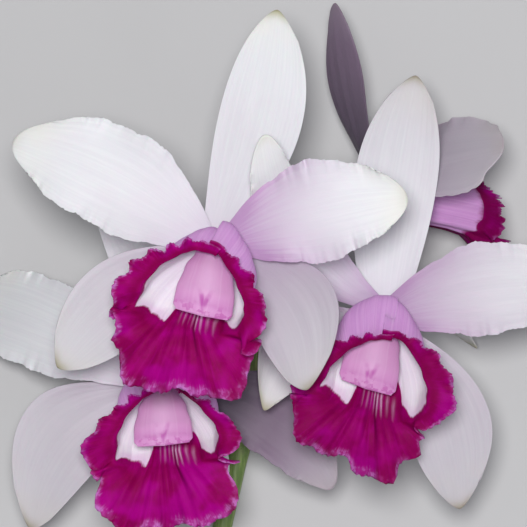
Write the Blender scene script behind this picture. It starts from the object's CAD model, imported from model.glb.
"""The look of a cut cattleya spray: fine petals, ruffled lips, columns and the stem.

Sizes are in millimetres and angles in degrees until a mesh is made, which is in metres.
+X is the viewer's right and +Y the top of the spray when it is looked at from above, and +Z is up.
"""
import math
from dataclasses import dataclass

import bmesh
import bpy
import numpy as np
from mathutils import Matrix, Vector


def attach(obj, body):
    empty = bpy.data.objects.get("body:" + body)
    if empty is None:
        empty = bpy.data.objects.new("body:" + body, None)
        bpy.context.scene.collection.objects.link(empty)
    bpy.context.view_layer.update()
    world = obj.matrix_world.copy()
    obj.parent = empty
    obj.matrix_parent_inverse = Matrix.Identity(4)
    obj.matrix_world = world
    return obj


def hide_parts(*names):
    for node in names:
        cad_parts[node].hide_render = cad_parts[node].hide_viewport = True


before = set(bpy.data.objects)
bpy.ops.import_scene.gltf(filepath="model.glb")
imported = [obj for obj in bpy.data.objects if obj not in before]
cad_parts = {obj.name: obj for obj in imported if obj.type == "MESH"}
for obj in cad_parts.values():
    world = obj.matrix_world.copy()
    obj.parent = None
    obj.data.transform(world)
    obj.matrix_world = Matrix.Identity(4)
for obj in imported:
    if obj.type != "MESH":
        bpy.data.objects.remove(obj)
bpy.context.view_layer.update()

MM = 0.001

# Where the middle of the whole box lies in the layout's own plan, and the lowest that a skin may reach
BOX_MIDDLE = (0.41, -47.37)
LOWEST = 0.03

# Petals and sepals, as in the solids
BASE_RADIUS = 2.8
SEPAL_LAYER = -1.75
PETAL_LAYER = -0.6
SEPAL_WIDEST_AT = 0.54
PETAL_WIDEST_AT = 0.60
SEPAL_ROUNDNESS = 0.72
PETAL_ROUNDNESS = 0.62
BLADE_ROUNDING = 2.1
SEPAL_TIP_SETBACK = 0.11
PETAL_TIP_SETBACK = 0.13
SEPAL_TIP_SWEEP = 1.5
PETAL_TIP_SWEEP = 2.0
PETAL_NOTCH = 0.035
LYING_HEIGHT = 0.4

# Their finer skin: midrib, lengthwise pleats and veins, and the jags and scallops of a petal's margin
BLADE_COLUMNS = 56
BLADE_ROWS = 84
BLADE_THICKNESS = 0.75
BLADE_EDGE_THICKNESS = 0.34
MIDRIB_DEPTH = 0.20
MIDRIB_HALF_WIDTH = 1.6
PLEAT_HEIGHT = 0.09
VEIN_HEIGHT = 0.03
PETAL_JAG = 0.012
PETAL_SCALLOP = 0.036
CRIMP_LAG = 1.7

# The dark point at a blade's tip: how far it reaches, where it is measured, and how strong it is
APEX_RADIUS = 2.0
APEX_MEASURED_AT = 0.94
SEPAL_APEX = 1.0
PETAL_APEX = 0.25

# Lip, as in the solids. Each row: degrees round the mouth from the midlobe to the seam, then millimetres
LIP_BASE_RADIUS = 4.2
LIP_BASE_HEIGHT = 1.3
LIP_BASE_DROP = 0.6
TUBE_SHARE = 0.50
SWELL_SHARE = 0.34
FLARE_FROM = 0.42
RUFFLES = 13
RUFFLE_DEPTH = 1.5
MIDLOBE_CROWN = 4.0
RIM_HEIGHT = (
    (0, 13.0), (30, 15.0), (50, 15.5), (64, 22.0), (90, 24.0), (125, 22.5), (155, 18.0), (180, 15.0),
)
WALL_HEIGHT = (
    (0, 11.0), (45, 13.5), (62, 18.0), (80, 21.0), (100, 21.0), (135, 18.5), (180, 13.5),
)

# Its finer skin: the lapped seam, the folds beside the midlobe, the margin's crimps and teeth, and the
# midlobe's ridges and keel
LIP_COLUMNS = 280
LIP_ROWS = 64
LIP_THICKNESS = 0.7
LIP_EDGE_THICKNESS = 0.30
SEAM_LAP = 187.0
SEAM_STEP = 0.55
FOLD_WIDTH = 8.0
FOLD_TUCK = 4.5
LOBE_DRAWN_IN = 0.16
CRIMP_HEIGHT = 0.7
TOOTH_DEPTH = 0.28
RIDGE_HEIGHT = 0.7
KEEL_HEIGHT = 1.1
KEEL_HALF_WIDTH = 9.0

# Radius of the mouth's wall and of each margin, by degrees from the midlobe, left of it below 0
WALL_RADIUS = (
    (-180, 12.0), (-160, 10.9), (-142, 10.3), (-107, 11.0), (-76, 13.3), (-61, 15.7), (-48, 13.6),
    (-26, 9.5), (0, 7.0), (26, 9.5), (50, 14.5), (62, 17.0), (77, 17.0), (87, 15.8), (112, 13.4),
    (137, 12.6), (158, 13.0), (180, 12.0),
)
FRONT_RIM = (
    (-180, 15.0), (-154, 14.0), (-138, 14.0), (-124, 15.5), (-114, 16.9), (-99, 18.2), (-86, 20.4),
    (-74, 22.0), (-62, 23.2), (-57, 22.4), (-50, 22.2), (-44, 25.6), (-38, 26.4), (-31, 29.2),
    (-21, 31.7), (-12, 31.6), (-2, 29.2), (7, 28.6), (20, 29.6), (28, 32.6), (38, 33.0), (44, 31.0),
    (50, 28.6), (56, 27.6), (63, 25.0), (69, 24.2), (80, 24.4), (90, 23.0), (97, 20.6), (109, 19.2),
    (126, 17.2), (144, 15.5), (160, 15.6), (180, 15.0),
)
RIGHT_RIM = (
    (-180, 13.4), (-160, 12.4), (-138, 12.8), (-116, 14.8), (-95, 19.0), (-80, 21.5), (-70, 23.0),
    (-60, 24.0), (-48, 26.6), (-31, 28.4), (-21, 27.8), (-11, 25.4), (-1, 25.2), (6, 27.5), (13, 29.0),
    (20, 30.6), (28, 30.4), (34, 26.6), (41, 26.8), (48, 26.4), (54, 21.5), (63, 23.6), (77, 24.6),
    (96, 24.0), (111, 21.4), (131, 18.8), (151, 16.0), (169, 14.6), (180, 13.6),
)
LOWER_RIM = (
    (-180, 13.4), (-155, 12.8), (-130, 13.6), (-104, 17.6), (-84, 23.0), (-68, 24.2), (-56, 22.8),
    (-45, 29.0), (-30, 32.0), (-14, 29.4), (0, 28.4), (14, 29.4), (30, 32.0), (45, 29.4), (56, 22.8),
    (68, 24.0), (84, 23.4), (104, 17.8), (130, 14.2), (155, 13.0), (180, 13.4),
)

# The share of the way from the throat to the margin at which the magenta starts, by degrees
MAGENTA_FROM = (
    (-180, 0.46), (-142, 0.45), (-76, 0.46), (-61, 0.48), (-55, 0.44), (-43, 0.45), (-28, 0.50),
    (-22, 0.40), (-16, 0.12), (0, 0.10), (30, 0.12), (44, 0.22), (52, 0.40), (58, 0.47), (80, 0.47),
    (112, 0.45), (180, 0.46),
)

# Pale streaks that run out of the throat: degrees from the midlobe, and how strong each is
STREAKS = (
    (-6.0, 0.3), (2.0, 0.35), (10.0, 0.35), (16.5, 0.9), (22.0, 1.0), (28.0, 0.8), (35.0, 0.4),
    (41.0, 0.35),
)
STREAK_HALF_WIDTH = 1.2

# A dark crease down the midlobe, in degrees, which turns a little on its way to the margin
CREASE_TURN = 19.0
CREASE_SLANT = 8.0
CREASE_HALF_WIDTH = 1.8

# Column, as in the solids, then its finer skin. Each row: share of its length, then half its width or
# thickness
COLUMN_FOOT = -2.1
COLUMN_HALF_WIDTH = (
    (0, 0.0), (0.02, 2.0), (0.18, 2.8), (0.42, 5.0), (0.64, 7.2), (0.84, 8.5), (0.95, 8.6),
    (0.988, 7.6), (1, 0.0),
)
COLUMN_HALF_THICKNESS = (
    (0, 0.0), (0.02, 2.0), (0.35, 2.3), (0.62, 2.6), (0.82, 2.1), (0.93, 1.3), (0.985, 0.6), (1, 0.0),
)
COLUMN_SIDES = 72
COLUMN_RINGS = 72
COLUMN_KEEL = 0.12
COLUMN_KEEL_HALF_WIDTH = 0.2

# Stem and flower stalks, as in the solids
STEM_RADIUS = 2.9
STEM_DRAWN_IN = 0.7
STEM_REST_HEIGHT = 2.65
STALK_RADIUS = 1.7
OVARY_RADIUS = 3.0
OVARY_TOP = -2.5
OVARY_STEPS_DOWN = (12.0, 3.0, 0.0)

# Their finer skin: ribs as (how many, how deep), nodes by their share of the stem, and papery sheaths
ROUTE_STEPS = 14
TUBE_SIDES = 36
STEM_RIBS = (9, 0.015)
STALK_RIBS = (6, 0.05)
STEM_NODES = (0.27, 0.52)
NODE_SWELL = 0.35
NODE_HALF_LENGTH = 0.008
BRACT_RINGS = 10
BRACT_GAP = 0.15
BRACT_BULGE = 0.25
BRACT_SLANT = 1.2
BRACT_STEPS_ON_STEM = 6
BRACT_STEPS_ON_STALK = 7
STALK_BRACT_AT = 0.10
STEM_VOXEL = 0.42
PALE_STALK = 34.0
CUT_DEPTH = 1.6

# What the materials measure by: a blade's length, a lip's from its throat to its margin, that of its flare,
# and degrees round its mouth
BLADE_LENGTH = 60.0
LIP_LENGTH = 28.0
FLARE_LENGTH = 16.0
RAY_TURN = 30.0

# How far apart the patterns of two blooms lie, and those of two blades of a bloom
BLOOM_SEED = 10
BLADE_SEED = 1.7

# Colours of petals and sepals
PETAL_GREY = (0.735, 0.745, 0.78)
PETAL_WHITE = (0.77, 0.785, 0.81)
FIBRE_GREY = (0.68, 0.67, 0.72)
CLOUD_LILAC = (0.72, 0.68, 0.75)
FLUSH_PINK = (0.50, 0.31, 0.53)
TIP_CREAM = (0.80, 0.80, 0.72)
APEX_OLIVE = (0.33, 0.32, 0.12)
SHADE_MAUVE = (0.23, 0.16, 0.24)
SHADE_DARK = (0.05, 0.045, 0.065)

# Colours of the lips
INK_RED = (0.255, 0.0, 0.085)
INK_MAGENTA = (0.33, 0.0, 0.145)
INK_RAY = (0.40, 0.001, 0.23)
INK_PATCH = (0.43, 0.0, 0.29)
INK_DEEP = (0.22, 0.0, 0.055)
MARGIN_LILAC = (0.56, 0.20, 0.57)
THROAT_LILAC = (0.90, 0.86, 0.94)
THROAT_WHITE = (0.96, 0.93, 0.98)
THROAT_DEPTH = (0.60, 0.48, 0.64)
THROAT_BLUSH = (0.62, 0.22, 0.60)
STREAK_PINK = (0.84, 0.56, 0.80)
CREASE_DARK = (0.10, 0.0, 0.03)
OUTSIDE_LILAC = (0.61, 0.31, 0.65)
OUTSIDE_PINK = (0.68, 0.38, 0.71)
LIP_SHADE = (0.06, 0.0, 0.04)

# Colours of the columns
COLUMN_FOOT_PINK = (0.50, 0.17, 0.42)
COLUMN_PINK = (0.66, 0.33, 0.60)
COLUMN_BAND = (0.78, 0.48, 0.74)
COLUMN_CAP = (0.56, 0.17, 0.50)
COLUMN_SPECK = (0.42, 0.02, 0.32)
COLUMN_BLOTCH = (0.46, 0.05, 0.38)
COLUMN_LINE = (0.80, 0.58, 0.78)
COLUMN_SHADE = (0.14, 0.04, 0.12)

# Colours of the stem and the stalks
STEM_DARK = (0.13, 0.22, 0.05)
STEM_LIGHT = (0.24, 0.34, 0.09)
STEM_FLUSH = (0.22, 0.13, 0.12)
STALK_PALE = (0.52, 0.50, 0.42)
CUT_CREAM = (0.50, 0.48, 0.28)
STEM_SPECK = (0.10, 0.07, 0.04)

# The stage, in metres apart from the film: floor, camera and soft lights. The view is as wide as the
# photograph 60 mm above the floor. Each row of lights: name, place, size, power and colour
FLOOR_HALF_WIDTH = 1.5
FLOOR_DARK = (0.50, 0.50, 0.51)
FLOOR_LIGHT = (0.54, 0.54, 0.55)
FILM_WIDTH = 36.0
VIEW_WIDTH = 0.1528
VIEW_DISTANCE = 1.5
CAMERA_HEIGHT = 1.56
LIGHTS = (
    ("key", (-0.06, 0.19, 1.9), 0.45, 28.5, (1.0, 0.99, 0.98)),
    ("fill", (0.75, -0.45, 0.9), 0.9, 1.8, (0.95, 0.96, 1.0)),
)
LIGHT_AIM = (0.0, 0.03, 0.05)
WORLD_COLOUR = (0.86, 0.88, 0.92, 1.0)
WORLD_STRENGTH = 0.23

# Noise and light under the skin that all the materials share
NOISE_ROUGHNESS = 0.55
SKIN_RADIUS = (1.0, 0.6, 0.8)
SKIN_DEPTH = 1.2


@dataclass
class Blade:
    """A petal or sepal, drawn in its flower's own plane from the flower's centre. early brings its widest
    place nearer to the centre, point draws its end in to a sharper tip, and twist turns it about its
    length. frill crimps its margin and curl lifts its end. flush is how rosy its base is, and shade how
    dark the blade is, less by fade at its tip."""
    name: str
    angle: float
    reach: float
    width: float
    mid: float
    tip: float
    bow: float = 0.0
    base: float = 0.20
    cup: float = 0.06
    wave: float = 0.5
    waves: float = 1.5
    phase: float = 0.0
    early: float = 0.0
    point: float = 0.0
    twist: float = 0.0
    petal: bool = False
    frill: float = 0.0
    curl: float = 0.0
    flush: float = 0.5
    shade: float = 0.0
    fade: float = 0.45


@dataclass
class Lip:
    """The lip and the column inside it. The mouth's middle and the column's tip are measured from the
    flower's centre. The last of the mouth's numbers is added to the height of the tube, and lift to the
    height of its margin. The folds are the degrees that the margin is turned beside the midlobe, seam moves
    the tube's seam round from the top, and belly fills out the tube's left and right sides."""
    roll: float
    mouth: tuple
    column_tip: tuple
    size: float = 1.0
    phase: float = 0.0
    lift: float = 0.0
    rim: tuple = LOWER_RIM
    fold_left: float = 11.0
    fold_right: float = 15.0
    fold_turn: float = 61.0
    seam: float = 0.0
    belly: tuple = (0.0, 0.0)
    shade: float = 0.0


@dataclass
class Bloom:
    """One flower: where its centre is, which way it faces, its blades and its lip."""
    name: str
    centre: tuple
    facing: tuple
    blades: tuple
    lip: Lip


FACING_UP = (0.0, 0.0, 1.0)

FRONT_BLOOM = Bloom(
    "front_bloom", (-14.1, 5.4, 70.0), FACING_UP,
    (
        Blade("dorsal_sepal", 75.1, 70.8, 24.2, -7.0, -14.0, bow=-3.4, base=0.36, cup=0.08,
              flush=0.2, shade=0.14, fade=1.0),
        Blade("left_sepal", 217.9, 57.7, 24.5, 1.0, -4.0, bow=-4.0, base=0.16, cup=0.10,
              flush=0.35, shade=0.4, fade=0.2),
        Blade("right_sepal", 303.0, 49.5, 26.0, 5.0, 7.0, bow=9.0, base=0.16, cup=0.12,
              flush=0.8, shade=0.8, fade=0.25),
        Blade("left_petal", 152.5, 65.5, 30.0, 2.0, -4.0, bow=-3.8, base=0.27, wave=1.4, waves=2.5,
              phase=0.2, early=0.10, point=0.13, petal=True, frill=0.4, flush=0.25),
        Blade("right_petal", 14.0, 57.0, 29.0, 9.0, 9.0, bow=2.2, wave=1.6, waves=2.5, phase=0.6,
              early=0.08, point=0.18, petal=True, frill=0.9, curl=1.5, flush=1.5),
    ),
    Lip(-13.0, (-7.1, -13.3, 0.0), (-3.6, -20.4, 19.0), rim=FRONT_RIM, seam=-17.0, belly=(0.0, 1.6)),
)
RIGHT_BLOOM = Bloom(
    "right_bloom", (34.9, -14.5, 44.0), FACING_UP,
    (
        Blade("dorsal_sepal", 82.0, 70.4, 24.2, 2.0, -2.0, bow=1.6, base=0.54, cup=0.10,
              flush=0.15, shade=0.04, fade=-10.0),
        Blade("left_sepal", 219.1, 45.0, 20.0, 2.0, 3.0, bow=-9.0, base=0.20, cup=0.10, point=0.30,
              flush=0.6, shade=0.4),
        Blade("right_sepal", 291.9, 62.2, 24.6, 0.0, -6.0, bow=6.2, base=0.14, cup=0.10, early=-0.06,
              point=0.17, flush=0.25, shade=0.6, fade=0.1),
        Blade("left_petal", 124.5, 62.0, 18.5, 18.0, 34.0, bow=8.2, base=0.28, wave=1.0, waves=2.0,
              phase=0.4, early=0.08, petal=True, frill=0.4, curl=1.0, flush=0.8),
        Blade("right_petal", 8.4, 56.0, 27.0, 6.0, 4.0, bow=2.8, base=0.34, wave=1.2, waves=2.0,
              early=0.05, petal=True, frill=0.25, flush=1.25, shade=0.3),
    ),
    Lip(-18.0, (-2.8, -18.5, 0.5), (-5.2, -22.0, 15.0), phase=0.35, rim=RIGHT_RIM, fold_right=7.0,
        fold_turn=57.0, belly=(2.4, 0.0), shade=0.12),
)
LOWER_BLOOM = Bloom(
    "lower_bloom", (-30.0, -35.5, 34.0), FACING_UP,
    (
        Blade("dorsal_sepal", 108.0, 66.0, 19.0, -4.0, -2.0, bow=-6.0, base=0.40, cup=0.08, shade=0.15),
        Blade("left_sepal", 227.5, 58.5, 27.5, 0.0, -8.0, bow=-10.8, base=0.10, cup=0.10, early=0.07,
              flush=0.25, shade=0.5, fade=0.1),
        Blade("right_sepal", 292.0, 40.0, 21.0, -8.0, -30.0, base=0.15, cup=0.10),
        Blade("left_petal", 157.4, 64.0, 28.0, -3.0, -46.0, bow=-2.6, wave=1.4, waves=2.5,
              early=-0.06, petal=True, frill=0.6, flush=0.3),
        Blade("right_petal", 329.3, 59.4, 24.0, 0.0, -4.0, bow=8.8, wave=1.0, waves=2.0, point=0.30,
              petal=True, frill=0.15, flush=0.9, shade=2.0, fade=0.58),
    ),
    Lip(5.0, (0.2, -13.2, 0.0), (0.9, -17.6, 19.5), phase=0.7, fold_right=9.0, belly=(2.2, 2.2)),
)
REAR_BLOOM = Bloom(
    "rear_bloom", (33.2, 21.9, 20.0), (0.970, -0.215, -0.085),
    (
        Blade("dorsal_sepal", 92.0, 51.6, 18.5, -13.5, -22.0, base=0.50, cup=0.08, point=-0.10,
              twist=28.0, shade=1.75, fade=0.3),
        Blade("left_sepal", 228.0, 18.0, 11.0, -4.0, -12.0, base=0.15, shade=0.5),
        Blade("right_sepal", 285.0, 40.7, 19.0, 12.0, 43.0, base=0.15, cup=0.10, twist=-50.0,
              shade=0.2),
        Blade("left_petal", 142.0, 32.0, 31.0, 12.5, 32.5, base=0.30, wave=1.6, waves=2.5,
              petal=True, frill=0.9, flush=0.9, shade=1.05, fade=0.3),
        Blade("right_petal", 25.0, 27.0, 16.0, 10.0, 26.0, wave=1.0, waves=2.0, petal=True,
              frill=0.4, shade=0.4),
    ),
    Lip(0.0, (0.0, 0.0, 17.5), (0.0, -3.0, 26.0), size=0.66, phase=0.1, lift=3.5, shade=0.42),
)
BLOOMS = (FRONT_BLOOM, RIGHT_BLOOM, LOWER_BLOOM, REAR_BLOOM)

STEM_ROUTE = (
    (-26.0, -172.0, STEM_REST_HEIGHT), (-24.0, -140.0, STEM_REST_HEIGHT),
    (-17.0, -100.0, STEM_REST_HEIGHT), (-8.0, -60.0, STEM_REST_HEIGHT),
    (-2.0, -30.0, STEM_REST_HEIGHT), (2.0, -8.0, 3.6), (6.0, 6.0, 6.0),
)
STALK_ROUTES = {
    "lower_bloom": ((-7.0, -50.0, 3.0), (-16.0, -42.0, 5.0), (-26.0, -37.5, 12.0)),
    "right_bloom": ((-2.0, -30.0, 3.0), (10.0, -23.0, 5.0), (26.0, -17.0, 16.0)),
    "front_bloom": ((1.0, -10.0, 4.0), (-6.0, -2.0, 12.0), (-12.5, 4.0, 34.0)),
    "rear_bloom": ((3.0, -4.0, 4.5), (11.0, 13.0, 9.0)),
}


def ease(share):
    """0 to 1 with level ends."""
    share = min(max(share, 0.0), 1.0)
    return share * share * (3 - 2 * share)


def between(x, start, rise, end, fall):
    """0 outside start and end, and 1 from rise past the start to fall before the end."""
    return ease((x - start) / rise) * ease((end - x) / fall)


def bell(offset, half_width):
    """1 at no offset, falling off to either side."""
    return math.exp(-(offset / half_width) ** 2)


def read_off(rows, x):
    """The value at x on a smooth line through rows of (x, value)."""
    if x <= rows[0][0]:
        return rows[0][1]
    for (x0, y0), (x1, y1) in zip(rows, rows[1:]):
        if x <= x1:
            return y0 + (y1 - y0) * ease((x - x0) / (x1 - x0))
    return rows[-1][1]


def bloom_matrix(bloom):
    """From the flower's own plane, in millimetres, to the layout."""
    forward = Vector(bloom.facing).normalized()
    upward = Vector((0, 1, 0)) - forward * forward.y
    upward.normalize()
    sideways = upward.cross(forward)
    turn = Matrix((sideways, upward, forward)).transposed().to_4x4()
    return Matrix.Translation(Vector(bloom.centre)) @ turn


def to_row(point):
    """From the layout in millimetres to the part's own frame in metres."""
    return Vector((point[0] - BOX_MIDDLE[0], point[1] - BOX_MIDDLE[1], point[2])) * MM


def half_width(share, blade):
    """Half the blade's width at a share of its length."""
    if blade.petal:
        widest, power = PETAL_WIDEST_AT - blade.early, PETAL_ROUNDNESS + blade.point
    else:
        widest, power = SEPAL_WIDEST_AT - blade.early, SEPAL_ROUNDNESS + blade.point
    if share < widest:
        part = blade.base + (1 - blade.base) * math.sin(0.5 * math.pi * share / widest)
    else:
        part = max(0.0, 1 - ((share - widest) / (1 - widest)) ** BLADE_ROUNDING) ** power
    return 0.5 * blade.width * part


def petal_margin(lateral, share, across, settled, blade):
    """A petal's distance from its midrib, changed by the notches, jags and scallops of its margin."""
    lateral *= 1 + PETAL_NOTCH * across * across * settled * math.sin(17 * share + 9 * blade.phase)
    run = share * blade.reach
    jag = math.sin(run * 2.3 + 5 * blade.phase) * math.sin(run * 0.9 + across)
    jag += 0.5 * math.sin(run * 4.7)
    scallop = abs(math.sin(run * 0.42 + 2 * across + 4 * blade.phase)) - 0.64
    return lateral * (1 + across ** 4 * settled * (PETAL_JAG * jag + PETAL_SCALLOP * scallop))


def blade_crimp(share, across, blade):
    """How the crimping runs along the margin, uneven, and not the same on both sides."""
    run = share * blade.reach
    side = CRIMP_LAG if across > 0 else 0.0
    crimp = math.sin(run * 1.15 + side) + 0.7 * math.sin(run * 1.93 + 2 * side + 1.0)
    crimp += 0.5 * math.sin(run * 3.1 + side)
    return crimp * (0.2 + 0.8 * (0.5 + 0.5 * math.sin(run * 0.29 + 2.2 * side + 4 * blade.phase)) ** 2)


def blade_relief(share, across, half, blade):
    """Midrib, soft lengthwise pleats and the crimped margin, in millimetres of height."""
    middle = between(share, 0.0, 0.25, 1.02, 0.35)
    relief = -MIDRIB_DEPTH * bell(across * half, MIDRIB_HALF_WIDTH)
    relief += PLEAT_HEIGHT * math.sin(across * 8.5 + 3 * blade.phase) * math.sin(across * 3.1 + 1.0)
    relief += VEIN_HEIGHT * math.sin(across * 34.0)
    frill = blade.frill * abs(across) ** 5 * blade_crimp(share, across, blade)
    curl = blade.curl * ease((share - 0.72) / 0.28) * (0.35 + across * across)
    return relief * middle + frill * between(share, 0.18, 0.3, 1.0, 0.12) + curl


def blade_point(along, across, blade):
    """A point of the blade's middle surface. along runs 0 to 1 to the tip, across -1 to 1."""
    setback = (PETAL_TIP_SETBACK if blade.petal else SEPAL_TIP_SETBACK) * along * along
    sweep = PETAL_TIP_SWEEP if blade.petal else SEPAL_TIP_SWEEP
    share = along * (1 - setback * abs(across) ** sweep)
    half = half_width(along * (1 - setback), blade)
    settled = ease(share / 0.35)
    side_phase = 0.3 if across > 0 else 0.0
    ripple = math.sin(2 * math.pi * (blade.waves * share + blade.phase + side_phase))
    lateral = across * half
    if blade.petal:
        lateral = petal_margin(lateral, share, across, settled, blade)
    bend = 4 * blade.mid - blade.tip
    height = bend * share + (2 * blade.tip - 4 * blade.mid) * share * share
    height += PETAL_LAYER if blade.petal else SEPAL_LAYER
    height += settled * across * across * (blade.cup * 0.5 * blade.width + blade.wave * ripple)
    height += blade_relief(share, across, half, blade)
    twist = math.radians(blade.twist) * settled
    height += lateral * math.sin(twist)
    lateral *= math.cos(twist)
    outward = BASE_RADIUS + (blade.reach - BASE_RADIUS) * share
    sideways = blade.bow * 4 * share * (1 - share) + lateral
    turn = math.radians(blade.angle)
    return Vector((
        outward * math.cos(turn) - sideways * math.sin(turn),
        outward * math.sin(turn) + sideways * math.cos(turn),
        height,
    ))


def once_round(turn):
    """The same direction, for the rows of degrees, where the left side of the tube laps past its seam."""
    return turn + 360.0 if turn < -180.0 else turn


def lip_fold(turn, away, lip):
    """How strongly the margin is pinched where a side lobe meets the midlobe, and how far it is turned."""
    pinch = (away - lip.fold_turn) / FOLD_WIDTH
    pinch *= math.exp(0.5 * (1 - pinch * pinch))
    fold = lip.fold_right if turn > 0 else lip.fold_left
    return pinch, -math.copysign(fold, turn) * pinch


def lip_ruffle(swing, flare, from_seam, lip):
    """How far the big ruffles lift and spread the open lip. They die out towards the seam."""
    ruffle = RUFFLE_DEPTH * flare ** 3 * lip.size ** 3 * ease((from_seam - 5) / 25)
    return ruffle * math.sin(swing), 0.6 * ruffle * math.cos(swing * 1.37 + 1.0)


def lip_crimp(swing, flare, from_seam, lip):
    """How far the fine crimps lift the margin, and its teeth spread it."""
    edge = flare ** 7 * lip.size * ease((from_seam - 2) / 20)
    crimp = math.sin(swing * 2.9 + 0.6) + 0.8 * math.sin(swing * 4.3 + 2.0) + 0.6 * math.sin(swing * 6.7)
    teeth = math.sin(swing * 5.1 + 1.1) * math.sin(swing * 1.9) + 0.6 * math.sin(swing * 8.3)
    return CRIMP_HEIGHT * edge * crimp, TOOTH_DEPTH * edge * teeth


def midlobe_relief(turn, away, share, flare, lip):
    """The midlobe's crown, its low uneven ridges, and the keel that runs out of the throat."""
    ridge = math.sin(turn * 0.42 + 1.0) * math.sin(turn * 0.17 + 2.0 * lip.phase)
    ridge *= RIDGE_HEIGHT * ease((58 - away) / 20)
    crown = MIDLOBE_CROWN * ease((60 - away) / 40)
    keel = KEEL_HEIGHT * bell(turn, KEEL_HALF_WIDTH) * between(share, 0.2, 0.2, 0.95, 0.4)
    return ((crown + ridge) * math.sin(math.pi * flare) + keel) * lip.size


def lip_point(turn, share, lip):
    """A point of the lip's middle surface. turn runs round the mouth from the midlobe at 0 to the seam at
    180 either way, and share runs from the throat at 0 to the margin at 1."""
    away = min(abs(turn), 360.0 - abs(turn))
    from_seam = 180 - abs(turn - lip.seam)
    tube = min(1.0, share / TUBE_SHARE)
    swell = 1 - (1 - min(1.0, share / SWELL_SHARE)) ** 2
    flare = max(0.0, (share - FLARE_FROM) / (1 - FLARE_FROM))
    pinch, bend = lip_fold(turn, away, lip)

    wall = read_off(WALL_RADIUS, once_round(turn)) * lip.size
    rim = read_off(lip.rim, once_round(turn) + bend) * lip.size
    if turn > 0:
        rim *= 1 - LOBE_DRAWN_IN * max(0.0, pinch)
    lap = math.copysign(SEAM_STEP, turn - lip.seam) * ease((30 - from_seam) / 30)
    radius = LIP_BASE_RADIUS + lap + (wall - LIP_BASE_RADIUS) * swell + (rim - wall) * flare ** 1.2
    belly = lip.belly[1] if turn > 0 else lip.belly[0]
    radius += belly * math.sin(math.pi * min(1.0, share / FLARE_FROM)) * ease((away - 70) / 40)

    wall_height = read_off(WALL_HEIGHT, away) * lip.size + lip.mouth[2]
    rim_height = read_off(RIM_HEIGHT, away) * lip.size + lip.mouth[2]
    rim_height += lip.lift * (1 + 1.6 * ease((100 - away) / 50))
    height = LIP_BASE_HEIGHT + (wall_height - LIP_BASE_HEIGHT) * tube
    height += (rim_height - wall_height) * flare
    height += midlobe_relief(turn, away, share, flare, lip)
    if turn < 0:
        height -= FOLD_TUCK * lip.size * pinch * flare

    swing = math.radians(turn) * RUFFLES + 2 * math.pi * lip.phase
    for wave in (lip_ruffle, lip_crimp):
        rise, spread = wave(swing, flare, from_seam, lip)
        height += rise
        radius += spread
    middle = Vector((lip.mouth[0] * tube, -LIP_BASE_DROP + (lip.mouth[1] + LIP_BASE_DROP) * tube, 0.0))
    angle = math.radians(turn + bend * flare ** 1.5 + lip.roll)
    return middle + Vector((radius * math.sin(angle), -radius * math.cos(angle), height))


def column_point(share, direction, lip):
    """A point of the column's skin at a share of its length, with direction a unit vector across it."""
    half_w = read_off(COLUMN_HALF_WIDTH, share) * lip.size
    half_t = read_off(COLUMN_HALF_THICKNESS, share) * lip.size
    foot = Vector((0.0, 0.0, COLUMN_FOOT))
    tip = Vector(lip.column_tip)
    knee = Vector((0.0, 0.0, 0.5 * tip.z + 0.5))
    rest = 1 - share
    spine = foot * rest * rest + knee * 2 * rest * share + tip * share * share
    heading = ((knee - foot) * rest + (tip - knee) * share).normalized()
    roll = math.radians(lip.roll)
    wide = Vector((math.cos(roll), math.sin(roll), 0.0))
    thick = heading.cross(wide).normalized()
    return spine + wide * (direction[0] * half_w) + thick * (direction[1] * half_t)


def new_object(name, mesh, material):
    piece = bpy.data.objects.new(name, mesh)
    bpy.context.scene.collection.objects.link(piece)
    mesh.materials.append(material)
    mesh.shade_smooth()
    return piece


def add_values(mesh, values):
    """Writes each named list of numbers, or of triples, on the mesh's corners for the materials to read."""
    for name, numbers in values.items():
        numbers = np.asarray(numbers, dtype=np.float32)
        if numbers.ndim == 2:
            layer = mesh.attributes.new(name, "FLOAT_VECTOR", "POINT")
            layer.data.foreach_set("vector", numbers.ravel())
        else:
            layer = mesh.attributes.new(name, "FLOAT", "POINT")
            layer.data.foreach_set("value", numbers)


def dress(piece, node):
    """Lets the piece stand for the node, and take its finish from the slot."""
    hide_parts(node)
    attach(piece, "root")


def sample_grid(rows, columns, spot_at):
    """Middle points, thicknesses and the material's values on a grid. spot_at gives all three for a share
    of the rows and a share of the columns."""
    points = np.zeros((rows + 1, columns + 1, 3))
    thickness = np.zeros((rows + 1, columns + 1))
    values = {}
    for i in range(rows + 1):
        for j in range(columns + 1):
            points[i, j], thickness[i, j], here = spot_at(i / rows, j / columns)
            for name, value in here.items():
                values.setdefault(name, []).append(value)
    return points, thickness, values


def grid_faces(rows, columns):
    """The faces of both skins of a leaf, and of the rim that joins them."""
    count = rows * columns
    corner = np.arange(count).reshape(rows, columns)
    a, b = corner[:-1, :-1].ravel(), corner[:-1, 1:].ravel()
    c, d = corner[1:, 1:].ravel(), corner[1:, :-1].ravel()
    faces = np.concatenate((
        np.stack((a, b, c, d), axis=1),
        np.stack((d, c, b, a), axis=1) + count,
    )).tolist()
    ring = np.concatenate((corner[0, :-1], corner[:-1, -1], corner[-1, :0:-1], corner[:0:-1, 0])).tolist()
    for start, end in zip(ring, ring[1:] + ring[:1]):
        faces.append((end, start, start + count, end + count))
    return faces


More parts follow.
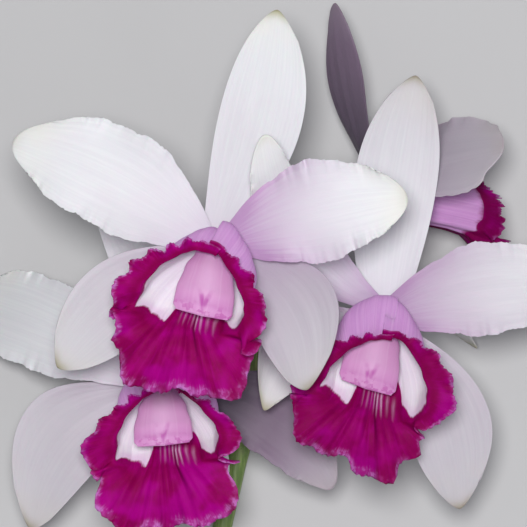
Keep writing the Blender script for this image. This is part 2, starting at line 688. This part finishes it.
def leaf_mesh(name, points, thickness, values, facing=1):
    """A closed thin leaf on a grid of middle points, in millimetres, with both skins and a rim. facing is
    -1 where the grid's own normal points away from the face that is seen."""
    along = np.gradient(points, axis=0)
    across = np.gradient(points, axis=1)
    normal = np.cross(across, along)
    normal /= np.maximum(np.linalg.norm(normal, axis=2, keepdims=True), 1e-9)
    half = normal * (0.5 * thickness[:, :, None])
    skin = np.concatenate(((points + half).reshape(-1, 3), (points - half).reshape(-1, 3)))
    skin[:, 2] = np.maximum(skin[:, 2], LOWEST)
    skin = (skin - np.array((*BOX_MIDDLE, 0.0))) * MM
    mesh = bpy.data.meshes.new(name)
    mesh.from_pydata(skin.tolist(), [], grid_faces(*thickness.shape))
    both = {key: np.concatenate((numbers, numbers)) for key, numbers in values.items()}
    both["back"] = np.repeat((0.5 - 0.5 * facing, 0.5 + 0.5 * facing), thickness.size)
    add_values(mesh, both)
    return mesh


def blade_values(along, across, blade, seed):
    """What the material reads at a point of the blade."""
    to_apex = math.hypot((1 - along) * blade.reach, across * half_width(APEX_MEASURED_AT, blade))
    return {
        "lay": (across, along * blade.reach / BLADE_LENGTH, seed),
        "flush": blade.flush * ((1 - along) ** 2.3 * 0.9 + 0.35 * (1 - along) * across * across),
        "tip": ease((along - 0.72) / 0.28),
        "apex": (PETAL_APEX if blade.petal else SEPAL_APEX) * bell(to_apex, APEX_RADIUS),
        "shade": blade.shade * (1 - blade.fade * along),
    }


def make_blade(bloom, blade, material, seed):
    matrix = bloom_matrix(bloom)

    def spot_at(along, beside):
        across = math.sin(0.5 * math.pi * (2 * beside - 1))
        point = matrix @ blade_point(along, across, blade)
        point.z = max(point.z, LYING_HEIGHT)
        rim = max(abs(across) ** 6, ease((along - 0.93) / 0.07))
        thickness = BLADE_THICKNESS + (BLADE_EDGE_THICKNESS - BLADE_THICKNESS) * rim
        return point, thickness, blade_values(along, across, blade, seed)

    node = f"{bloom.name}_{blade.name}"
    name = f"{node}_fine"
    mesh = leaf_mesh(name, *sample_grid(BLADE_ROWS, BLADE_COLUMNS, spot_at))
    dress(new_object(name, mesh, material), node)


def lip_values(turn, share, lip, seed):
    """What the material reads at a point of the lip."""
    streak = sum(strength * bell(turn - at, STREAK_HALF_WIDTH) for at, strength in STREAKS)
    off_crease = turn - CREASE_TURN - CREASE_SLANT * (share - 0.5)
    return {
        "lay": (turn / RAY_TURN, share, seed),
        "magenta": (share - read_off(MAGENTA_FROM, once_round(turn))) * LIP_LENGTH,
        "margin": (1 - share) * FLARE_LENGTH,
        "streak": streak * between(share, 0.32, 0.10, 0.52 + 0.03 * math.sin(turn), 0.10),
        "crease": bell(off_crease, CREASE_HALF_WIDTH) * between(share, 0.36, 0.10, 0.80, 0.25),
        "depth": ease((0.46 - share) / 0.4),
        "shade": lip.shade,
    }


def make_lip(bloom, material, seed):
    matrix = bloom_matrix(bloom)
    lip = bloom.lip

    def spot_at(share, beside):
        turn = (2 * beside - 1) * SEAM_LAP + lip.seam
        thickness = LIP_THICKNESS + (LIP_EDGE_THICKNESS - LIP_THICKNESS) * share ** 8
        return matrix @ lip_point(turn, share, lip), thickness, lip_values(turn, share, lip, seed)

    node = f"{bloom.name}_lip"
    name = f"{node}_fine"
    mesh = leaf_mesh(name, *sample_grid(LIP_ROWS, LIP_COLUMNS, spot_at), facing=-1)
    dress(new_object(name, mesh, material), node)


def make_column(bloom, material):
    """The column, flat and broad below its cap, with a low keel down its face."""
    matrix = bloom_matrix(bloom)
    lip = bloom.lip
    ball = bmesh.new()
    bmesh.ops.create_uvsphere(ball, u_segments=COLUMN_SIDES, v_segments=COLUMN_RINGS, radius=1.0)
    lay = []
    for corner in ball.verts:
        share = 0.5 + 0.5 * min(max(corner.co.z, -1.0), 1.0)
        across = Vector((corner.co.x, corner.co.y))
        if across.length > 1e-6:
            across.normalize()
        keel = COLUMN_KEEL * bell(across.x, COLUMN_KEEL_HALF_WIDTH) * between(share, 0.2, 0.3, 0.97, 0.2)
        corner.co = to_row(matrix @ column_point(share, across * (1 + keel), lip))
        lay.append((across.x, share, across.y))
    bmesh.ops.recalc_face_normals(ball, faces=ball.faces[:])
    node = f"{bloom.name}_column"
    mesh = bpy.data.meshes.new(f"{node}_fine")
    ball.to_mesh(mesh)
    ball.free()
    add_values(mesh, {"lay": lay, "shade": np.full(len(lay), lip.shade)})
    dress(new_object(f"{node}_fine", mesh, material), node)


def smooth_route(points, steps):
    """Points on a smooth curve through the given ones."""
    spots = [Vector(p) for p in points]
    spots = [2 * spots[0] - spots[1]] + spots + [2 * spots[-1] - spots[-2]]
    route = []
    for before, start, end, after in zip(spots, spots[1:], spots[2:], spots[3:]):
        for step in range(steps):
            t = step / steps
            bend = (2 * before - 5 * start + 4 * end - after) * t * t
            sharp = (3 * start - before - 3 * end + after) * t * t * t
            route.append(0.5 * (2 * start + (end - before) * t + bend + sharp))
    route.append(spots[-2])
    return route


def heading_at(route, i):
    """The way the route runs at its i-th point."""
    return (route[min(i + 1, len(route) - 1)] - route[max(i - 1, 0)]).normalized()


def square_to(heading, normal):
    """The unit vector across the heading that is nearest to normal."""
    return (normal - heading * normal.dot(heading)).normalized()


def spokes(heading, normal):
    """Angles and unit vectors all round the heading, from normal on."""
    beside = heading.cross(normal)
    for k in range(TUBE_SIDES):
        angle = 2 * math.pi * k / TUBE_SIDES
        yield angle, normal * math.cos(angle) + beside * math.sin(angle)


def add_skin(body, rings):
    """Adds a closed bar through rings of points to the bmesh."""
    rings = [[body.verts.new(spot) for spot in ring] for ring in rings]
    for low, high in zip(rings, rings[1:]):
        for k in range(TUBE_SIDES):
            after = (k + 1) % TUBE_SIDES
            body.faces.new((low[k], low[after], high[after], high[k]))
    body.faces.new(list(reversed(rings[0])))
    body.faces.new(rings[-1])


def add_tube(body, route, radii, ribs, rib_depth):
    """A round bar along the route, with lengthwise ribs."""
    rings = []
    normal = Vector((0.0, 0.0, 1.0))
    for i, (point, radius) in enumerate(zip(route, radii)):
        heading = heading_at(route, i)
        normal = square_to(heading, normal)
        ring = []
        for angle, spoke in spokes(heading, normal):
            ring.append(point + spoke * (radius * (1 + rib_depth * math.cos(ribs * angle))))
        rings.append(ring)
    add_skin(body, rings)


def add_bract(body, route, at, steps, radius):
    """A papery sheath round a stalk or the stem, from its place along the route, cut off at a slant."""
    start = int(at * (len(route) - 1))
    spots = []
    for i in range(BRACT_RINGS + 1):
        index = start + i / BRACT_RINGS * steps
        low = min(int(index), len(route) - 2)
        spots.append(route[low].lerp(route[low + 1], index - low))
    rings = []
    for i, point in enumerate(spots):
        heading = heading_at(spots, i)
        share = i / BRACT_RINGS
        reach = radius + BRACT_GAP + BRACT_BULGE * math.sin(math.pi * min(share * 1.1, 1.0))
        ring = []
        for angle, spoke in spokes(heading, square_to(heading, Vector((0.3, 0.2, 1.0)))):
            slant = BRACT_SLANT * share * (1 + math.cos(angle))
            ring.append(point + spoke * reach - heading * slant)
        rings.append(ring)
    add_skin(body, rings)


def stem_radii(count):
    """The stem, a little thicker at each node and drawn in towards its top."""
    radii = []
    for i in range(count):
        share = i / (count - 1)
        radius = STEM_RADIUS - STEM_DRAWN_IN * ease((share - 0.7) / 0.3)
        for node in STEM_NODES:
            radius += NODE_SWELL * bell(share - node, NODE_HALF_LENGTH)
        radii.append(radius)
    return radii


def add_stalk(body, bloom):
    """A flower's stalk with its sheath, which thickens into its ovary and ends level under the flower."""
    matrix = bloom_matrix(bloom)
    ovary = tuple(tuple(matrix @ Vector((0.0, 0.0, OVARY_TOP - down))) for down in OVARY_STEPS_DOWN)
    route = smooth_route(STALK_ROUTES[bloom.name] + ovary, ROUTE_STEPS)
    last = len(route) - 1
    swell = OVARY_RADIUS - STALK_RADIUS
    radii = [STALK_RADIUS + swell * ease(2.2 * i / last - 0.9) for i in range(last + 1)]
    add_tube(body, route, radii, *STALK_RIBS)
    add_bract(body, route, STALK_BRACT_AT, BRACT_STEPS_ON_STALK, STALK_RADIUS + 0.1)


def grown_together(name, body):
    """One smooth skin over all the bars of the bmesh."""
    rough = bpy.data.meshes.new(name)
    body.to_mesh(rough)
    body.free()
    helper = bpy.data.objects.new(name, rough)
    bpy.context.scene.collection.objects.link(helper)
    remesh = helper.modifiers.new("grow_together", "REMESH")
    remesh.mode = "VOXEL"
    remesh.voxel_size = STEM_VOXEL * MM
    smooth = helper.modifiers.new("smooth", "SMOOTH")
    smooth.iterations = 3
    smooth.factor = 0.5
    mesh = bpy.data.meshes.new_from_object(helper.evaluated_get(bpy.context.evaluated_depsgraph_get()))
    bpy.data.objects.remove(helper)
    return mesh


def make_stem(material):
    """The stem and the flower stalks in one skin, pale near the flowers and at the cut end."""
    body = bmesh.new()
    route = smooth_route(STEM_ROUTE, ROUTE_STEPS)
    add_tube(body, route, stem_radii(len(route)), *STEM_RIBS)
    for node in STEM_NODES:
        add_bract(body, route, node, BRACT_STEPS_ON_STEM, STEM_RADIUS)
    for bloom in BLOOMS:
        add_stalk(body, bloom)
    for corner in body.verts:
        corner.co = to_row(corner.co)
    bmesh.ops.recalc_face_normals(body, faces=body.faces[:])
    mesh = grown_together("flower_stem_fine", body)
    tops = [to_row(bloom_matrix(bloom) @ Vector((0.0, 0.0, OVARY_TOP))) for bloom in BLOOMS]
    cut_end = to_row(STEM_ROUTE[0])
    near_flower = []
    near_cut = []
    for corner in mesh.vertices:
        corner.co.z = max(corner.co.z, LOWEST * MM)
        to_flower = min((corner.co - top).length for top in tops) / MM
        near_flower.append(ease(1 - to_flower / PALE_STALK))
        near_cut.append(ease(1 - (corner.co.y - cut_end.y) / (CUT_DEPTH * MM)))
    add_values(mesh, {"near_flower": near_flower, "near_cut": near_cut})
    dress(new_object("flower_stem_fine", mesh, material), "flower_stem")


class Nodes:
    """Short calls for building a material's nodes."""

    def __init__(self, name):
        self.material = bpy.data.materials.new(name)
        self.material.use_nodes = True
        self.tree = self.material.node_tree
        self.shader = self.tree.nodes["Principled BSDF"]

    def add(self, kind, **settings):
        node = self.tree.nodes.new(kind)
        for key, value in settings.items():
            setattr(node, key, value)
        return node

    def link(self, source, target):
        self.tree.links.new(source, target)

    def put(self, socket, value):
        """Links the socket to another node's output, or sets its own value."""
        if isinstance(value, bpy.types.NodeSocket):
            self.link(value, socket)
        else:
            socket.default_value = value

    def fill(self, node, values):
        for name, value in values.items():
            self.put(node.inputs[name], value)

    def attribute(self, name, vector=False):
        node = self.add("ShaderNodeAttribute", attribute_name=name)
        return node.outputs["Vector" if vector else "Fac"]

    def place(self):
        """The place on the object, in metres."""
        return self.add("ShaderNodeTexCoord").outputs["Object"]

    def parts(self, vector):
        """The three numbers of a vector."""
        node = self.add("ShaderNodeSeparateXYZ")
        self.link(vector, node.inputs[0])
        return node.outputs

    def maths(self, operation, first, second=0.0, clamp=False):
        node = self.add("ShaderNodeMath", operation=operation, use_clamp=clamp)
        self.put(node.inputs[0], first)
        self.put(node.inputs[1], second)
        return node.outputs[0]

    def times(self, first, second, clamp=False):
        return self.maths("MULTIPLY", first, second, clamp)

    def plus(self, first, second):
        return self.maths("ADD", first, second)

    def line(self, value, slope, start):
        """slope times value, plus start."""
        return self.plus(self.times(value, slope), start)

    def about_zero(self, noise, size):
        """Noise that runs to either side of 0."""
        return self.times(self.maths("SUBTRACT", noise, 0.5), size)

    def stretch(self, vector, scale):
        node = self.add("ShaderNodeMapping")
        self.fill(node, {"Vector": vector, "Scale": scale})
        return node.outputs["Vector"]

    def noise(self, vector, scale=1.0, detail=3.0):
        node = self.add("ShaderNodeTexNoise")
        self.fill(node, {"Vector": vector, "Scale": scale, "Detail": detail, "Roughness": NOISE_ROUGHNESS})
        return node.outputs["Fac"]

    def step(self, value, none_at, full_at):
        """0 at none_at, 1 at full_at, smooth between and level beyond."""
        node = self.add("ShaderNodeMapRange", interpolation_type="SMOOTHSTEP")
        self.fill(node, {"Value": value, "From Min": none_at, "From Max": full_at})
        return node.outputs["Result"]

    def mix(self, share, first, second):
        node = self.add("ShaderNodeMix", data_type="RGBA")
        self.put(node.inputs[0], share)
        for socket, value in ((node.inputs[6], first), (node.inputs[7], second)):
            self.put(socket, value if isinstance(value, bpy.types.NodeSocket) else (*value, 1.0))
        return node.outputs[2]

    def tint(self, colour, other, share, most=1.0):
        """The colour, turned towards the other one by a share of most."""
        if most != 1.0:
            share = self.times(share, most)
        return self.mix(share, colour, other)

    def bump(self, height, strength, distance):
        node = self.add("ShaderNodeBump")
        self.fill(node, {"Height": height, "Strength": strength, "Distance": distance * MM})
        self.link(node.outputs["Normal"], self.shader.inputs["Normal"])

    def finish(self, colour, roughness, subsurface=0.0, specular=0.5, coat=0.0):
        self.fill(self.shader, {
            "Base Color": colour, "Roughness": roughness, "Subsurface Weight": subsurface,
            "Subsurface Radius": SKIN_RADIUS, "Subsurface Scale": SKIN_DEPTH * MM,
            "Specular IOR Level": specular, "Coat Weight": coat,
        })
        return self.material


def petal_material():
    """White with lengthwise veins, rosy at the base, creamy at the tip, and darker in the shade."""
    n = Nodes("petal_white")
    lay = n.attribute("lay", vector=True)
    place = n.place()
    shade = n.attribute("shade")
    veins = n.noise(n.stretch(lay, (19.0, 1.2, 7.0)), detail=4.0)
    fibres = n.noise(n.stretch(lay, (60.0, 5.0, 7.0)), detail=2.0)
    clouds = n.noise(place, scale=70.0)
    cells = n.noise(place, scale=2600.0, detail=1.0)
    colour = n.mix(n.step(veins, 0.36, 0.66), PETAL_GREY, PETAL_WHITE)
    colour = n.tint(colour, FIBRE_GREY, n.step(fibres, 0.55, 0.75), 0.2)
    colour = n.tint(colour, CLOUD_LILAC, n.step(clouds, 0.45, 0.75), 0.3)
    rosy = n.times(n.attribute("flush"), n.line(veins, 0.7, 0.55), clamp=True)
    colour = n.tint(colour, FLUSH_PINK, rosy)
    cream = n.times(n.attribute("tip"), n.step(clouds, 0.2, 0.7))
    colour = n.tint(colour, TIP_CREAM, cream, 0.55)
    colour = n.tint(colour, APEX_OLIVE, n.attribute("apex"), 0.8)
    colour = n.tint(colour, SHADE_MAUVE, shade, 0.75)
    colour = n.tint(colour, SHADE_DARK, n.step(shade, 1.0, 2.0))
    relief = n.plus(n.times(fibres, 0.7), n.times(cells, 0.3))
    relief = n.plus(relief, n.times(veins, 1.2))
    n.bump(relief, 0.24, 0.16)
    return n.finish(colour, n.line(cells, 0.18, 0.46), subsurface=0.3, specular=0.35)


def lip_ink(n, place, magenta, rays, fine, clouds):
    """The magenta of the open lip: rays and patches, deeper by the throat, with a pale crinkled margin."""
    ink = n.mix(n.step(clouds, 0.36, 0.66), INK_RED, INK_MAGENTA)
    ink = n.tint(ink, INK_RAY, n.step(rays, 0.50, 0.72), 0.35)
    blots = n.step(n.noise(place, scale=75.0, detail=2.0), 0.46, 0.60)
    ink = n.tint(ink, INK_PATCH, n.times(blots, n.step(magenta, 5.0, 11.0)), 0.5)
    by_throat = n.times(n.step(magenta, 9.0, 4.0), n.step(magenta, 0.5, 4.0))
    ink = n.tint(ink, INK_DEEP, by_throat, 0.65)
    crinkle = n.noise(place, scale=480.0, detail=2.0)
    edge = n.plus(n.attribute("margin"), n.about_zero(fine, 1.6))
    pale = n.times(n.step(edge, 1.3, 0.1), n.step(clouds, 0.34, 0.58))
    pale = n.times(pale, n.line(n.step(crinkle, 0.45, 0.60), 0.7, 0.2))
    return n.tint(ink, MARGIN_LILAC, pale)


def lip_white(n, border, rays):
    """The white of the throat, dimmer in its depth and blushing towards the magenta."""
    white = n.mix(n.step(rays, 0.40, 0.66), THROAT_LILAC, THROAT_WHITE)
    white = n.tint(white, THROAT_DEPTH, n.attribute("depth"), 0.35)
    return n.tint(white, THROAT_BLUSH, n.step(border, -3.0, 0.0), 0.35)


def lip_material():
    """Velvety magenta with a white throat inside, and pale lilac outside the tube."""
    n = Nodes("lip_magenta")
    lay = n.attribute("lay", vector=True)
    place = n.place()
    magenta = n.attribute("magenta")
    rays = n.noise(n.stretch(lay, (13.0, 1.6, 5.0)), detail=4.0)
    fine = n.noise(n.stretch(lay, (42.0, 7.0, 5.0)), detail=2.0)
    clouds = n.noise(place, scale=150.0)
    grain = n.noise(place, scale=2200.0, detail=1.5)
    ink = lip_ink(n, place, magenta, rays, fine, clouds)
    border = n.plus(magenta, n.plus(n.about_zero(clouds, 1.6), n.about_zero(rays, 0.9)))
    face = n.mix(n.step(border, -0.3, 0.3), lip_white(n, border, rays), ink)
    face = n.tint(face, STREAK_PINK, n.attribute("streak"))
    face = n.tint(face, CREASE_DARK, n.attribute("crease"), 0.9)
    inked = n.step(border, 0.6, 1.8)
    outside = n.mix(n.step(rays, 0.36, 0.72), OUTSIDE_LILAC, OUTSIDE_PINK)
    colour = n.mix(n.attribute("back"), face, n.mix(inked, outside, ink))
    colour = n.tint(colour, LIP_SHADE, n.times(n.attribute("shade"), n.line(inked, 0.6, 0.4)))
    relief = n.plus(n.times(rays, 1.3), n.times(fine, 0.6))
    relief = n.plus(relief, n.times(grain, 0.35))
    n.bump(relief, 0.4, 0.25)
    return n.finish(colour, n.line(grain, 0.2, 0.50), subsurface=0.25, specular=0.05)


def column_material():
    """Waxy pink, paler down its middle, with a magenta blotch of two arms and specks near its cap."""
    n = Nodes("column_pink")
    lay = n.attribute("lay", vector=True)
    across, along, _ = n.parts(lay)
    place = n.place()
    lines = n.noise(n.stretch(lay, (7.0, 1.2, 1.0)))
    clouds = n.noise(place, scale=220.0, detail=2.0)
    beside = n.maths("ABSOLUTE", across)
    colour = n.mix(n.step(along, 0.1, 0.75), COLUMN_FOOT_PINK, COLUMN_PINK)
    colour = n.tint(colour, COLUMN_BAND, n.step(beside, 0.6, 0.05), 0.6)
    colour = n.tint(colour, COLUMN_CAP, n.step(along, 0.80, 0.96), 0.5)
    specks = n.step(n.noise(place, scale=520.0, detail=2.0), 0.50, 0.58)
    colour = n.tint(colour, COLUMN_SPECK, n.times(specks, n.step(along, 0.90, 0.97)), 0.5)
    spread = n.times(n.maths("SUBTRACT", 0.94, along), 1.7)
    arms = n.step(n.maths("ABSOLUTE", n.maths("SUBTRACT", beside, spread)), 0.15, 0.02)
    blotch = n.times(arms, n.times(n.step(along, 0.80, 0.90), n.step(clouds, 0.3, 0.6)))
    colour = n.tint(colour, COLUMN_BLOTCH, blotch, 0.85)
    colour = n.tint(colour, COLUMN_LINE, n.step(lines, 0.45, 0.7), 0.18)
    colour = n.tint(colour, COLUMN_SHADE, n.attribute("shade"))
    n.bump(n.plus(lines, n.times(clouds, 0.4)), 0.3, 0.25)
    return n.finish(colour, n.line(clouds, 0.2, 0.45), subsurface=0.25, specular=0.3)


def stem_material():
    """Green with lengthwise streaks and a brown flush, pale near the flowers and on the cut."""
    n = Nodes("stem_green")
    place = n.place()
    streaks = n.noise(n.stretch(place, (900.0, 70.0, 900.0)))
    clouds = n.noise(place, scale=90.0)
    specks = n.noise(place, scale=1500.0, detail=1.0)
    colour = n.mix(n.step(streaks, 0.4, 0.68), STEM_DARK, STEM_LIGHT)
    colour = n.tint(colour, STEM_FLUSH, n.step(clouds, 0.5, 0.75), 0.4)
    colour = n.tint(colour, STALK_PALE, n.attribute("near_flower"), 0.75)
    colour = n.tint(colour, CUT_CREAM, n.attribute("near_cut"), 0.8)
    colour = n.tint(colour, STEM_SPECK, n.step(specks, 0.66, 0.74), 0.5)
    n.bump(n.plus(streaks, n.times(specks, 0.3)), 0.35, 0.25)
    return n.finish(colour, n.line(clouds, 0.2, 0.36), subsurface=0.08, coat=0.1)


def floor_material():
    n = Nodes("pale_floor")
    return n.finish(n.mix(n.noise(n.place(), scale=6.0), FLOOR_DARK, FLOOR_LIGHT), 0.8)


def make_floor():
    far = FLOOR_HALF_WIDTH
    mesh = bpy.data.meshes.new("floor")
    corners = [(-far, -far, 0), (far, -far, 0), (far, far, 0), (-far, far, 0)]
    mesh.from_pydata(corners, [], [(0, 1, 2, 3)])
    floor = new_object("floor", mesh, floor_material())


def add_light(name, place, size, power, colour):
    """A round soft light, aimed at the blooms."""
    light = bpy.data.lights.new(name, "AREA")
    light.shape = "DISK"
    light.size = size
    light.energy = power
    light.color = colour
    holder = bpy.data.objects.new(name, light)
    holder.location = place
    holder.rotation_euler = (Vector(place) - Vector(LIGHT_AIM)).to_track_quat("Z", "Y").to_euler()
    bpy.context.scene.collection.objects.link(holder)


def light_scene():
    for row in LIGHTS:
        add_light(*row)
    world = bpy.data.worlds.new("studio")
    bpy.context.scene.world = world
    world.use_nodes = True
    background = world.node_tree.nodes["Background"]
    background.inputs["Color"].default_value = WORLD_COLOUR
    background.inputs["Strength"].default_value = WORLD_STRENGTH


def make_camera():
    """Straight above the layout's origin, which is the middle of the photograph."""
    camera = bpy.data.cameras.new("camera")
    camera.sensor_width = FILM_WIDTH
    camera.lens = FILM_WIDTH * VIEW_DISTANCE / VIEW_WIDTH
    holder = bpy.data.objects.new("camera", camera)
    holder.location = (-BOX_MIDDLE[0] * MM, -BOX_MIDDLE[1] * MM, CAMERA_HEIGHT)
    bpy.context.scene.collection.objects.link(holder)
    bpy.context.scene.camera = holder


def main():
    make_camera()
    petal = petal_material()
    lip = lip_material()
    column = column_material()
    for number, bloom in enumerate(BLOOMS):
        for place, blade in enumerate(bloom.blades):
            make_blade(bloom, blade, petal, BLOOM_SEED * number + BLADE_SEED * place)
        make_lip(bloom, lip, BLOOM_SEED * number)
        make_column(bloom, column)
    make_stem(stem_material())
    make_floor()
    light_scene()
    bpy.context.scene.view_settings.view_transform = "Standard"


main()
